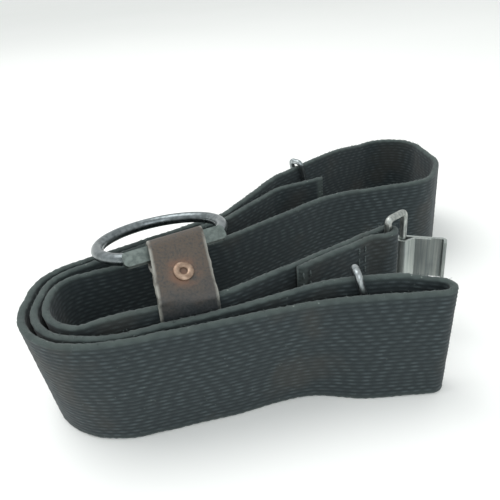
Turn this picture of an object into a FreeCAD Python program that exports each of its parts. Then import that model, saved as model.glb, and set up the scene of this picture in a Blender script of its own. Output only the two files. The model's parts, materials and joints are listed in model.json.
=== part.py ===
"""Dive weight belt, folded to and fro and standing on the webbing's edge.

Every node is written to parts/NODE.step in millimetres, +Z up. The route of the webbing is
drawn in plan, and everything is moved at the end so that the origin is the middle of the
belt's base: x runs along the coil, y to the back of it and z along the webbing's width.
"""

import FreeCAD, Part
import math
import os

V = FreeCAD.Vector

# Webbing
STRAP_WIDTH = 50.0
STRAP_THICK = 3.2
LIFT = 4.0  # how far a stretch rides above the ground where a fitting passes under it
FOLD_PITCH = 0.2  # air between the two layers of the sewn fold

# Hook end: wire loop in the sewn fold, with a sheet hook on its outer bar
LOOP_WIRE = 3.2
LOOP_REACH = 11.6  # between the loop's two upright bars
LOOP_ANGLE = 38.0
LOOP_BASE = 0.2
LOOP_TOP = 59.6
LOOP_CORNER = 2.2
FOLD_GAP = 0.3  # between the loop's wire and the webbing around it
FOLD_BACK = 51.0
FOLD_CLOSES = (3.0, 11.0)  # where the folded-back layer starts and ends closing onto the strap
FOLD_EASE = 6.0
HOOK_SHEET = 1.4
HOOK_HEIGHT = 20.0
HOOK_BASE = 24.5
HOOK_ANGLE = -20.0
HOOK_STEP = (1.4, 5.2)  # where the front leaf leaves its face and where it meets the rear one
HOOK_FRONT_LEAF = 12.6
HOOK_REAR_LEAF = 18.8
HOOK_LIP = 4.6
BAR_CLEAR = 0.3

# Ring end: hanger strip round the webbing, with the ring on a flat crossbar in its fold
HANGER_WIDTH = 23.0
HANGER_YAW = 12.0  # turn of the upper part against the legs, over the twist's heights
HANGER_TWIST = (54.3, 58.3)
HANGER_THICK = 1.5
HANGER_LEAN = 55.0
HANGER_DRIFT = 0.2  # sideways run of the leaning part, for each millimetre along it
HANGER_STATION = 0.67  # share of the hanger's run, from its left end
HANGER_CLEAR = 0.35  # between the leather and the webbing's faces
LAYER_GAP = 0.1  # between two leather layers
CROSSBAR = (43.0, 6.4, 2.2)  # length, height, thickness
CROSSBAR_EAR = 2.0
FRONT_LAYER = 1.7  # height of the top layer's middle over the heel line
BAR_Q = 22.0  # the crossbar's place along the lean
FOLD_RADIUS = math.hypot(CROSSBAR[1], CROSSBAR[2]) / 2 + 0.4 + HANGER_THICK / 2
BAR_M = FRONT_LAYER - FOLD_RADIUS
ARC_STEP = 12.0  # degrees between the strip's sections in a bend
TWIST_STEP = 0.8  # and millimetres between them in its twist
RING_RADIUS = 26.8
RING_WIRE = 5.0
RING_CENTRE = 20.3  # from the crossbar's axis to the ring's centre
RING_TILT = 11.0  # below level, resting on the outer strand
RIVET_FLANGE = 8.0
RIVET_SHANK = 4.4
RIVET_HOLE = 2.7
RIVET_BURR = 6.4
BURR_THICK = 0.8
RIVET_ALONG = 8.4

# Wire keepers
KEEPER_WIRE = 3.0
KEEPER_GAP = 4.2  # clear slot for the webbing's thickness
KEEPER_TOP = 58.6
KEEPER_CORNER = 2.2
KEEPER_BASE = 0.2
KEEPER_LEAN = 14.0
FRONT_KEEPER_X = 46.5
BACK_KEEPER_X = 36.0

# Stitching
STITCH = (3.0, 0.9, 0.45)  # length, width, how far it stands on the webbing
STITCH_ROWS = (15.0, 18.5, 45.5, 49.0)  # along the fold, from the loop's bar
STITCHES_IN_ROW = 9
STITCH_PITCH = 5.0
STITCH_MARGIN = 4.0  # from the webbing's lower edge

# Plan corners of the webbing's middle line, from the free end to the hook end:
# x, y, corner radius, height of the lower edge. A radius of 0 is a point on a straight run.
TIP_STRAND = [
    (44.5, 33.5, 0, 0),
    (17.0, 23.4, 22, 0),
    (-10.7, -9.6, 30, 0),
]
MIDDLE_BEND = [
    (-87.6, -54.0, 18, 0),
    (-87.6, -98.4, 26, 0),
    (-52.0, -101.4, 40, 0),
]
KEEPER_STRAND = [
    (-14.0, -91.2, 80, 0),
    (30.0, -83.0, 60, LIFT),
    (58.0, -82.5, 0, LIFT),
]
FRONT_BEND = [
    (76.5, -82.4, 4.2, 0),
    (76.5, -91.2, 4.2, 0),
]
FRONT_STRAND = [
    (24.0, -90.3, 120, 0),
    (-54.0, -105.5, 60, 0),
]
OUTER_BEND = [
    (-92.4, -103.0, 30, 0),
    (-92.4, -51.4, 22, 0),
]
BACK_STRAND = [
    (-13.8, -6.0, 34, 0),
    (17.2, 31.0, 26, LIFT),
    (58.0, 66.7, 0, LIFT),
]
BACK_BEND = [
    (88.0, 93.0, 22, 0),
    (110.5, 84.0, 18, 0),
    (114.2, 44.0, 30, 0),
    (101.0, 16.8, 22, 0),
]
INNER_STRAND = [
    (46.0, 8.8, 60, 0),
    (-13.0, -32.6, 60, 0),
    (-60.0, -50.0, 60, 0),
]
INNER_BEND = [
    (-83.2, -57.5, 14, 0),
    (-83.2, -93.6, 22, 0),
]
HOOK_STRAND = [
    (-55.0, -94.9, 30, LIFT),
    (-10.0, -84.2, 30, LIFT),
]
HOOK_RUN = (82.0, 31.4)  # from the last corner to the loop's bar: length, direction


def turn(angle):
    """Unit plan vector at an angle in degrees from +X."""
    return V(math.cos(math.radians(angle)), math.sin(math.radians(angle)), 0)


def left_of(direction):
    """Plan vector a quarter turn anticlockwise from a direction."""
    return V(-direction.y, direction.x, 0)


class Frame:
    """A local frame: u along, v to the left of u, z up."""

    def __init__(self, origin, angle):
        self.origin = origin
        self.u = turn(angle)
        self.v = left_of(self.u)
        self.angle = angle

    def at(self, u, v, z=0.0):
        """Point at local coordinates."""
        return self.origin + self.u * u + self.v * v + V(0, 0, z)

    def place(self, shape):
        """Move a shape drawn about the global origin into this frame."""
        shape.Placement = FreeCAD.Placement(
            self.origin, FreeCAD.Rotation(V(0, 0, 1), self.angle)
        ).multiply(shape.Placement)
        return shape


def route(corners):
    """Straight runs and tangent arcs through corners of (x, y, radius, height).

    Returns a list of (kind, start, end, centre, sign, z_start, z_end).
    """
    points = [V(c[0], c[1], 0) for c in corners]
    pieces = []
    last, last_z = points[0], corners[0][3]
    for i in range(1, len(points) - 1):
        here, radius, z = points[i], corners[i][2], corners[i][3]
        into = (here - points[i - 1]).normalize()
        out = (points[i + 1] - here).normalize()
        bend = math.atan2(into.x * out.y - into.y * out.x, into.dot(out))
        cut = radius * math.tan(abs(bend) / 2)
        start, end = here - into * cut, here + out * cut
        pieces.append(("run", last, start, None, 0, last_z, z))
        if cut > 1e-6:
            sign = 1 if bend > 0 else -1
            centre = start + left_of(into) * (radius * sign)
            pieces.append(("arc", start, end, centre, sign, z, z))
        last, last_z = end, z
    pieces.append(("run", last, points[-1], None, 0, last_z, corners[-1][3]))
    return pieces


def route_length(pieces):
    """Length of a route's middle line."""
    total = 0.0
    for kind, start, end, centre, _, _, _ in pieces:
        chord = (end - start).Length
        if kind == "arc":
            radius = (start - centre).Length
            total += 2 * radius * math.asin(min(1.0, chord / 2 / radius))
        else:
            total += chord
    return total


def run_solid(piece, half, width):
    """Straight stretch of strip, whose lower edge may climb or fall."""
    _, start, end, _, _, z0, z1 = piece
    along = end - start
    side = left_of(V(along).normalize())
    face = Part.Face(
        Part.makePolygon(
            [
                start + V(0, 0, z0),
                end + V(0, 0, z1),
                end + V(0, 0, z1 + width),
                start + V(0, 0, z0 + width),
                start + V(0, 0, z0),
            ]
        )
    )
    face.translate(side * -half)
    return face.extrude(side * (2 * half))


def arc_edge(centre, start, end, radius):
    """Arc about a centre between the directions of two points, the short way round."""
    a, b = (start - centre).normalize(), (end - centre).normalize()
    middle = (a + b).normalize()
    return Part.Arc(
        centre + a * radius, centre + middle * radius, centre + b * radius
    ).toShape()


def arc_solid(piece, half, width):
    """Curved stretch of strip at one height."""
    _, start, end, centre, _, z, _ = piece
    radius = (start - centre).Length
    inner = arc_edge(centre, start, end, radius - half)
    outer = arc_edge(centre, start, end, radius + half)
    ends = [(outer.Vertexes[k].Point, inner.Vertexes[k].Point) for k in (0, 1)]
    sides = [Part.makeLine(a, b) for a, b in ends]
    face = Part.Face(Part.Wire(Part.__sortEdges__([inner, outer] + sides)))
    face.translate(V(0, 0, z))
    return face.extrude(V(0, 0, width))


def strip(corners, thick, width):
    """A solid strip of a thickness and width standing along a plan route."""
    solids = []
    for piece in route(corners):
        if (piece[2] - piece[1]).Length > 1e-4:
            make = arc_solid if piece[0] == "arc" else run_solid
            solids.append(make(piece, thick / 2, width))
    return solids[0].fuse(solids[1:]).removeSplitter()


def wire_loop(points, radius, wire):
    """Round wire swept along a closed loop of straight runs with tangent corner arcs."""
    edges = []
    first = (points[0] + points[-1]) * 0.5
    last = first
    for i, here in enumerate(points):
        into = (here - points[i - 1]).normalize()
        out = (points[(i + 1) % len(points)] - here).normalize()
        bend = into.getAngle(out)
        cut = radius * math.tan(bend / 2)
        start, end = here - into * cut, here + out * cut
        inward = (out - into).normalize()
        middle = here + inward * (radius / math.cos(bend / 2) - radius)
        edges.append(Part.makeLine(last, start))
        edges.append(Part.Arc(start, middle, end).toShape())
        last = end
    edges.append(Part.makeLine(last, first))
    path = Part.Wire(edges)
    direction = edges[0].tangentAt(edges[0].FirstParameter)
    profile = Part.Wire([Part.makeCircle(wire / 2, edges[0].Vertexes[0].Point, direction)])
    return path.makePipeShell([profile], True, True)


def webbing():
    """The strap, from its free end through every bend to the sewn fold at the loop."""
    bar_pitch = LOOP_WIRE / 2 + FOLD_GAP + STRAP_THICK / 2
    layer_pitch = STRAP_THICK + FOLD_PITCH
    run = hook_run()
    reach = HOOK_RUN[0]
    fold = [
        run.at(reach + bar_pitch, 0),
        run.at(reach + bar_pitch, -2 * bar_pitch),
        run.at(reach - FOLD_CLOSES[0], -2 * bar_pitch),
        run.at(reach - FOLD_CLOSES[1], -layer_pitch),
        run.at(reach - FOLD_BACK, -layer_pitch),
    ]
    radii = (bar_pitch, bar_pitch, FOLD_EASE, FOLD_EASE, 0)
    corners = (
        TIP_STRAND + MIDDLE_BEND + KEEPER_STRAND + FRONT_BEND + FRONT_STRAND
        + OUTER_BEND + BACK_STRAND + BACK_BEND + INNER_STRAND + INNER_BEND + HOOK_STRAND
    )
    corners = corners + [(p.x, p.y, r, LIFT) for p, r in zip(fold, radii)]
    print("webbing length %.0f mm" % route_length(route(corners)))
    return strip(corners, STRAP_THICK, STRAP_WIDTH)


def hook_run():
    """Frame on the middle line of the hook end's straight run, at its left end."""
    last = HOOK_STRAND[-1]
    return Frame(V(last[0], last[1], 0), HOOK_RUN[1])


def hanger_run(yaw=0.0):
    """Frame on the strand where the hanger sits, at the hanger's middle, turned by a yaw."""
    (x0, y0, _, _), (x1, y1, _, _) = HOOK_STRAND
    angle = math.degrees(math.atan2(y1 - y0, x1 - x0))
    return Frame(V(x0, y0, 0) + V(x1 - x0, y1 - y0, 0) * HANGER_STATION, angle + yaw)


def loop_frame():
    """Frame at the loop's inner bar, u towards its outer bar."""
    pitch = LOOP_WIRE / 2 + FOLD_GAP + STRAP_THICK / 2
    return Frame(hook_run().at(HOOK_RUN[0], -pitch), LOOP_ANGLE)


def hook_frame():
    """Frame at the loop's outer bar, u along the hook."""
    return Frame(loop_frame().at(LOOP_REACH, 0), HOOK_ANGLE)


def buckle_loop():
    """Upright wire rectangle through the sewn fold."""
    r = LOOP_WIRE / 2
    low, high = LOOP_BASE + r, LOOP_TOP - r
    frame = loop_frame()
    corners = [(0, low), (LOOP_REACH, low), (LOOP_REACH, high), (0, high)]
    return wire_loop([frame.at(u, 0, z) for u, z in corners], LOOP_CORNER, LOOP_WIRE)


def hook_plate():
    """Sheet wrapped round the loop's outer bar, with a long rear leaf that ends in a lip."""
    mid = LOOP_WIRE / 2 + BAR_CLEAR + HOOK_SHEET / 2
    closed = mid - HOOK_SHEET - 0.1
    frame = hook_frame()
    outline = [
        (HOOK_FRONT_LEAF, closed, 0),
        (HOOK_STEP[1], closed, 1.2),
        (HOOK_STEP[0], -mid, 1.6),
        (-mid, -mid, mid),
        (-mid, mid, mid),
        (HOOK_REAR_LEAF, mid, 1.6),
        (HOOK_REAR_LEAF, mid - HOOK_LIP, 0),
    ]
    corners = []
    for u, v, radius in outline:
        p = frame.at(u, v)
        corners.append((p.x, p.y, radius, HOOK_BASE))
    return strip(corners, HOOK_SHEET, HOOK_HEIGHT)


class Lean:
    """The hanger's section: q along the lean from its heel, m square to it, as (v, z)."""

    HEEL = STRAP_WIDTH + LIFT + 2.2

    def __init__(self):
        a = math.radians(HANGER_LEAN)
        self.along = (math.sin(a), math.cos(a))
        self.square = (-math.cos(a), math.sin(a))

    def at(self, q, m):
        """Section point (v, z)."""
        v = self.along[0] * q + self.square[0] * m
        z = self.HEEL + self.along[1] * q + self.square[1] * m
        return v, z

    def meets(self, v, m):
        """The point on an upright line at v that lies at distance m from the heel line."""
        return v, self.HEEL + (m - self.square[0] * v) / self.square[1]

    def drift(self, v, z):
        """How far the leather has run sideways at a section point."""
        q = self.along[0] * v + self.along[1] * (z - self.HEEL)
        return HANGER_DRIFT * max(0.0, q)


def hanger_outline():
    """Corners of the strip's middle line: (v, z, corner radius), from inside the back leg."""
    lean = Lean()
    t = HANGER_THICK
    leg = STRAP_THICK / 2 + HANGER_CLEAR + t / 2
    inner, outer = leg, leg + t + 2 * LAYER_GAP
    under = LIFT - 0.6 - t / 2
    back_m = FRONT_LAYER - t - LAYER_GAP
    tail_m = back_m - t - LAYER_GAP
    far_m = BAR_M - FOLD_RADIUS
    return [
        (inner, 26.0, 0),
        (*lean.meets(inner, back_m), 2.0),
        (*lean.at(12.5, back_m), 2.0),
        (*lean.at(18.6, far_m), 2.0),
        (*lean.at(BAR_Q + FOLD_RADIUS, far_m), FOLD_RADIUS),
        (*lean.at(BAR_Q + FOLD_RADIUS, FRONT_LAYER), FOLD_RADIUS),
        (*lean.meets(-leg, FRONT_LAYER), 5.0),
        (-leg, under, 1.6),
        (outer, under, 1.6),
        (*lean.meets(outer, tail_m), 1.4),
        (*lean.at(12.0, tail_m), 0),
    ]


def twisted(v, z, u):
    """Place of a hanger point, turned with its height from the legs' direction to the ring's."""
    low, high = HANGER_TWIST
    share = min(1.0, max(0.0, (z - low) / (high - low)))
    frame = hanger_run(HANGER_YAW * share * share * (3 - 2 * share))
    return frame.at(u + Lean().drift(v, z), v, z)


def stations(pieces):
    """Middle points and normals along a route, close enough for its bends and its twist."""
    spots = []
    for kind, start, end, centre, sign, _, _ in pieces:
        length = (end - start).Length
        if kind == "arc":
            spoke = start - centre
            bend = spoke.getAngle(end - centre) * sign
            count = max(2, math.ceil(abs(bend) / math.radians(ARC_STEP)))
            for k in range(count):
                turned = FreeCAD.Rotation(V(0, 0, 1), math.degrees(bend * k / count)).multVec(spoke)
                spots.append((centre + turned, V(turned).normalize() * -sign))
        elif length > 1e-4:
            normal = left_of((end - start).normalize())
            low, high = HANGER_TWIST
            crosses = min(start.y, end.y) < high and max(start.y, end.y) > low
            count = max(1, math.ceil(length / TWIST_STEP)) if crosses else 1
            spots += [(start + (end - start) * (k / count), normal) for k in range(count)]
    spots.append((end, normal))
    return spots


def ring_hanger():
    """Leather strip: down the front of the strap, under it, up the back and over the bar."""
    half, depth = HANGER_WIDTH / 2, HANGER_THICK / 2
    sections = []
    for middle, normal in stations(route([(v, z, r, 0) for v, z, r in hanger_outline()])):
        corners = []
        for u, side in ((-half, -depth), (half, -depth), (half, depth), (-half, depth)):
            spot = middle + normal * side
            corners.append(twisted(spot.x, spot.y, u))
        sections.append(Part.makePolygon(corners + corners[:1]))
    solid = Part.makeLoft(sections, True, True)
    solid = solid.cut(rivet_cylinder(RIVET_SHANK / 2, -12, 12))
    return solid.cut(rivet_burr())


def lean_point(q, m, u=0.0):
    """Point of the leaning part of the hanger in the belt's frame."""
    v, z = Lean().at(q, m)
    return hanger_run(HANGER_YAW).at(u + HANGER_DRIFT * q, v, z)


def rivet_cylinder(radius, low, high):
    """Cylinder on the rivet's axis, square to the leaning hanger."""
    square = lean_point(0, 1) - lean_point(0, 0)
    return Part.makeCylinder(radius, high - low, lean_point(RIVET_ALONG, low), square)


def rivet_stack():
    """Heights of the outer faces of the three leather layers, and the burr's far face."""
    top = FRONT_LAYER + HANGER_THICK / 2
    low = FRONT_LAYER - 2 * (HANGER_THICK + LAYER_GAP) - HANGER_THICK / 2
    return top, low, low - BURR_THICK


def hanger_rivet():
    """Tubular rivet with a rolled flange on each side."""
    top, _, burr = rivet_stack()
    body = rivet_cylinder(RIVET_SHANK / 2, burr - 0.5, top + 0.8)
    head = rivet_cylinder(RIVET_FLANGE / 2, top, top + 0.9)
    rims = [e for e in head.Edges if e.Curve.TypeId == "Part::GeomCircle"]
    square = lean_point(0, 1) - lean_point(0, 0)
    far = max(rims, key=lambda e: e.CenterOfMass.dot(square))
    head = head.makeFillet(0.6, [far])
    roll = rivet_cylinder(RIVET_SHANK / 2 + 0.9, burr - 0.7, burr)
    hole = rivet_cylinder(RIVET_HOLE / 2, burr - 2, top + 2)
    return body.fuse([head, roll]).cut(hole).removeSplitter()


def rivet_burr():
    """Washer under the rivet's rolled end."""
    _, low, burr = rivet_stack()
    return rivet_cylinder(RIVET_BURR / 2, burr, low).cut(
        rivet_cylinder(RIVET_SHANK / 2, burr - 1, low + 1)
    )


def ring_crossbar():
    """Flat bar held in the hanger's fold, with rounded ears."""
    length, height, thick = CROSSBAR
    blank = Part.makeBox(length, height, thick, V(-length / 2, -height / 2, -thick / 2))
    ears = [e for e in blank.Edges if abs(e.tangentAt(0).z) > 0.9]
    blank = blank.makeFillet(CROSSBAR_EAR, ears)
    lean = Lean()
    frame = hanger_run(HANGER_YAW)
    centre = lean_point(BAR_Q, BAR_M)
    q = frame.v * lean.along[0] + V(0, 0, lean.along[1])
    m = frame.v * lean.square[0] + V(0, 0, lean.square[1])
    matrix = FreeCAD.Matrix(
        frame.u.x, q.x, m.x, centre.x,
        frame.u.y, q.y, m.y, centre.y,
        frame.u.z, q.z, m.z, centre.z,
        0, 0, 0, 1,
    )
    return blank.transformGeometry(matrix)


def pull_ring():
    """Round wire ring whose two ends butt against the crossbar's ears."""
    frame = hanger_run(HANGER_YAW)
    centre = lean_point(BAR_Q, BAR_M)
    tilt = math.radians(RING_TILT)
    out = frame.v * math.cos(tilt) - V(0, 0, math.sin(tilt))
    normal = frame.u.cross(out)
    hub = centre + out * RING_CENTRE
    gap = math.degrees(math.acos(RING_CENTRE / RING_RADIUS))
    ends = [math.radians(-90 + gap), math.radians(270 - gap)]

    def on_ring(angle):
        return hub + (frame.u * math.cos(angle) + out * math.sin(angle)) * RING_RADIUS

    arc = Part.Arc(on_ring(ends[0]), on_ring(math.pi / 2), on_ring(ends[1])).toShape()
    start = on_ring(ends[0])
    tangent = normal.cross(start - hub)
    profile = Part.Wire([Part.makeCircle(RING_WIRE / 2, start, tangent)])
    wire = Part.Wire([arc]).makePipeShell([profile], True, True)
    return max(wire.cut(ring_crossbar()).Solids, key=lambda solid: solid.Volume)


def keeper(origin, angle):
    """Upright wire rectangle round the webbing, leaning along the strap."""
    r = KEEPER_WIRE / 2
    half = KEEPER_GAP / 2 + r
    low, high = KEEPER_BASE + r, KEEPER_TOP - r
    frame = Frame(origin, angle)
    shift = math.tan(math.radians(KEEPER_LEAN)) * (high - low) / 2
    foot = [(shift, -half, low), (shift, half, low)]
    head = [(-shift, half, high), (-shift, -half, high)]
    return wire_loop([frame.at(*corner) for corner in foot + head], KEEPER_CORNER, KEEPER_WIRE)


def strand_point(start, end, x):
    """Point at x on the straight run between two corners, and the run's direction."""
    angle = math.degrees(math.atan2(end[1] - start[1], end[0] - start[0]))
    share = (x - start[0]) / (end[0] - start[0])
    return V(x, start[1] + (end[1] - start[1]) * share, 0), angle


def keeper_front():
    """Keeper on the strand behind the front bend."""
    origin, angle = strand_point(KEEPER_STRAND[1], KEEPER_STRAND[2], FRONT_KEEPER_X)
    return keeper(origin, angle)


def keeper_back():
    """Keeper on the outer strand at the back."""
    origin, angle = strand_point(BACK_STRAND[1], BACK_STRAND[2], BACK_KEEPER_X)
    return keeper(origin, angle)


def fold_stitching():
    """Rows of thread on both faces of the sewn fold."""
    run = hook_run()
    length, width, proud = STITCH
    faces = (STRAP_THICK / 2, -STRAP_THICK * 1.5 - FOLD_PITCH - proud)
    threads = []
    for row in STITCH_ROWS:
        for k in range(STITCHES_IN_ROW):
            z = LIFT + STITCH_MARGIN + k * STITCH_PITCH
            for v in faces:
                box = Part.makeBox(width, proud, length)
                box.translate(V(HOOK_RUN[0] - row - width / 2, v, z))
                threads.append(run.place(box))
    return Part.makeCompound(threads)


NODES = {
    "belt_webbing": webbing,
    "fold_stitching": fold_stitching,
    "buckle_loop": buckle_loop,
    "hook_plate": hook_plate,
    "ring_hanger": ring_hanger,
    "hanger_rivet": hanger_rivet,
    "rivet_burr": rivet_burr,
    "ring_crossbar": ring_crossbar,
    "pull_ring": pull_ring,
    "keeper_front": keeper_front,
    "keeper_back": keeper_back,
}


def main():
    """Build every node, set the origin to the middle of the base and write the files."""
    os.makedirs("parts", exist_ok=True)
    shapes = {name: make() for name, make in NODES.items()}
    box = Part.makeCompound(list(shapes.values())).optimalBoundingBox(False)
    shift = V(-box.Center.x, -box.Center.y, -box.ZMin)
    for name, shape in shapes.items():
        shape.translate(shift)
        shape.exportStep("parts/%s.step" % name)
        facts = (name, len(shape.Solids), shape.isValid(), shape.Volume / 1e3)
        print("%-16s %2d solids, valid %s, %.1f cm3" % facts)
    places = {
        "loop bar": loop_frame().origin,
        "hook bar": hook_frame().origin,
        "ring bar": lean_point(BAR_Q, BAR_M),
        "hanger": hanger_run().origin,
        "base": V(*FRONT_STRAND[0][:2], 0) * 0.5 + V(*FRONT_BEND[1][:2], 0) * 0.5,
    }
    print("origin at", [round(-c, 3) for c in shift])
    for name, point in places.items():
        print(name, [round(c / 1000, 5) for c in (point + shift)])


main()
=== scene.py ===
"""Looks of a dive weight belt: folded webbing, a pull ring in a riveted leather hanger, a sheet
hook on a wire loop, and two wire keepers.

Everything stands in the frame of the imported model, in metres; sizes in this file are in millimetres
and MM turns them to metres. The webbing, its stitching, the hanger and the rivet are modelled here
and stand for their solids. The steel pieces keep their solids' shapes and get their finishes here.
"""

import json
import logging
import math
from dataclasses import dataclass, field
from enum import Enum
from typing import Any, Sequence

import bmesh
import bpy
import numpy as np
from mathutils import Matrix, Vector, noise

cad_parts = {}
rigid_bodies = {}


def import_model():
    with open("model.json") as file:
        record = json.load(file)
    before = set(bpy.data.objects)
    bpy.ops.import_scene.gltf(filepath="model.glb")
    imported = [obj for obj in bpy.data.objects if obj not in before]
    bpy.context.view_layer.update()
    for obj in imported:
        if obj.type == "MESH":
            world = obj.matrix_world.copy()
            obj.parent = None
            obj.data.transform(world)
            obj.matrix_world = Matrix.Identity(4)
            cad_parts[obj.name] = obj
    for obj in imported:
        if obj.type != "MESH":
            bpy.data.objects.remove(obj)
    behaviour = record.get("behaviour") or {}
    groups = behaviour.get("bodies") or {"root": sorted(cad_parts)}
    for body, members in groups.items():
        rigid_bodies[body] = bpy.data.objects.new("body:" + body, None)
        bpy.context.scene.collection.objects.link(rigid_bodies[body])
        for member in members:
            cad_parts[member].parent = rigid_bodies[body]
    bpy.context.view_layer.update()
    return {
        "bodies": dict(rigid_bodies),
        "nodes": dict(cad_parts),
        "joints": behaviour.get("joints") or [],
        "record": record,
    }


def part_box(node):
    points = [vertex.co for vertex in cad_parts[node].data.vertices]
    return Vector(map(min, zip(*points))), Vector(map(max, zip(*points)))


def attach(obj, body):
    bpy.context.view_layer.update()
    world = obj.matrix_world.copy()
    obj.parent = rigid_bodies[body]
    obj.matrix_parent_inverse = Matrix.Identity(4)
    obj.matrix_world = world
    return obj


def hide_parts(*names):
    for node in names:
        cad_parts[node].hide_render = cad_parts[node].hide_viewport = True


MM = 0.001
LOG = logging.getLogger("belt")
MIX_SHARE, MIX_A, MIX_B, MIX_RESULT = 0, 6, 7, 2  # the Mix node's colour sockets
NO_ARC = 1e-6  # a corner cut shorter than this stays sharp


def hex_colour(code: str) -> tuple[float, float, float, float]:
    """Turn an sRGB hex colour to linear RGBA.

    Args:
        code: six hex digits.

    Returns:
        Linear red, green and blue, and an alpha of 1.
    """
    parts = [int(code[i : i + 2], 16) / 255 for i in (0, 2, 4)]
    linear = [c / 12.92 if c <= 0.04045 else ((c + 0.055) / 1.055) ** 2.4 for c in parts]
    return linear[0], linear[1], linear[2], 1.0


def add_node(
    tree: bpy.types.NodeTree, kind: str, settings: dict[str, Any], inputs: dict[Any, Any]
) -> bpy.types.Node:
    """Add a node with its settings, values and incoming links.

    Args:
        tree: the shader or geometry tree.
        kind: the node's type name.
        settings: properties of the node.
        inputs: a socket name or number to a value, or to the socket that feeds it.

    Returns:
        The new node.
    """
    node = tree.nodes.new(kind)
    for name, value in settings.items():
        setattr(node, name, value)
    for key, value in inputs.items():
        if isinstance(value, bpy.types.NodeSocket):
            tree.links.new(value, node.inputs[key])
        else:
            node.inputs[key].default_value = value
    return node


class ShaderSketch:
    """A material's node tree with short ways to write sums, ramps and textures."""

    def __init__(self, name: str) -> None:
        """Start an empty material with a Principled shader.

        Args:
            name: the material's name.
        """
        self.material = bpy.data.materials.new(name)
        self.material.use_nodes = True
        self.tree = self.material.node_tree
        self.shader = self.tree.nodes["Principled BSDF"]

    def math(self, operation: str, a: Any, b: Any = 0.0, c: Any = 0.0) -> bpy.types.NodeSocket:
        """One arithmetic step; returns its value socket."""
        values = {0: a, 1: b, 2: c}
        return add_node(self.tree, "ShaderNodeMath", {"operation": operation}, values).outputs[0]

    def mix(self, share: Any, a: Any, b: Any) -> bpy.types.NodeSocket:
        """Blend two colours, each a socket or a hex code, by a share; returns the colour socket."""
        a, b = (hex_colour(c) if isinstance(c, str) else c for c in (a, b))
        values = {MIX_SHARE: share, MIX_A: a, MIX_B: b}
        node = add_node(self.tree, "ShaderNodeMix", {"data_type": "RGBA"}, values)
        return node.outputs[MIX_RESULT]

    def step(self, value: Any, low: float, high: float) -> bpy.types.NodeSocket:
        """Smooth step of a value from low to high; returns 0 to 1."""
        node = add_node(
            self.tree,
            "ShaderNodeMapRange",
            {"interpolation_type": "SMOOTHSTEP"},
            {"Value": value, "From Min": low, "From Max": high},
        )
        return node.outputs[0]

    def place(self) -> bpy.types.NodeSocket:
        """Object coordinates."""
        return add_node(self.tree, "ShaderNodeTexCoord", {}, {}).outputs["Object"]

    def attribute(self, name: str) -> bpy.types.NodeSocket:
        """Value of one of the mesh's own attributes."""
        node = add_node(self.tree, "ShaderNodeAttribute", {"attribute_name": name}, {})
        return node.outputs["Fac"]

    def stretch(self, source: Any, scale: Sequence[float]) -> bpy.types.NodeSocket:
        """Scale a coordinate along each axis."""
        return add_node(
            self.tree, "ShaderNodeMapping", {}, {"Vector": source, "Scale": tuple(scale)}
        ).outputs[0]

    def cloud(self, source: Any, size_mm: float, detail: float = 3.0) -> bpy.types.NodeSocket:
        """Noise whose blotches are about a size in millimetres, 0 to 1."""
        settings = {"Vector": source, "Scale": 1 / (size_mm * MM), "Detail": detail}
        return add_node(self.tree, "ShaderNodeTexNoise", {}, settings).outputs[0]

    def specks(self, source: Any, size_mm: float) -> bpy.types.NodeSocket:
        """Distance to the nearest of scattered points, in cells of a size in millimetres."""
        settings = {"Vector": source, "Scale": 1 / (size_mm * MM)}
        return add_node(self.tree, "ShaderNodeTexVoronoi", {}, settings).outputs["Distance"]

    def bump(self, height: Any, depth_mm: float, strength: float = 1.0) -> None:
        """Raise the surface by a height of 0 to 1 over a depth in millimetres."""
        settings = {"Height": height, "Distance": depth_mm * MM, "Strength": strength}
        node = add_node(self.tree, "ShaderNodeBump", {}, settings)
        self.tree.links.new(node.outputs[0], self.shader.inputs["Normal"])

    def feed(self, **inputs: Any) -> None:
        """Set or link the Principled shader's sockets, written with _ for a space."""
        for key, value in inputs.items():
            socket = self.shader.inputs[key.replace("_", " ")]
            if isinstance(value, bpy.types.NodeSocket):
                self.tree.links.new(value, socket)
            else:
                socket.default_value = value


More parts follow.
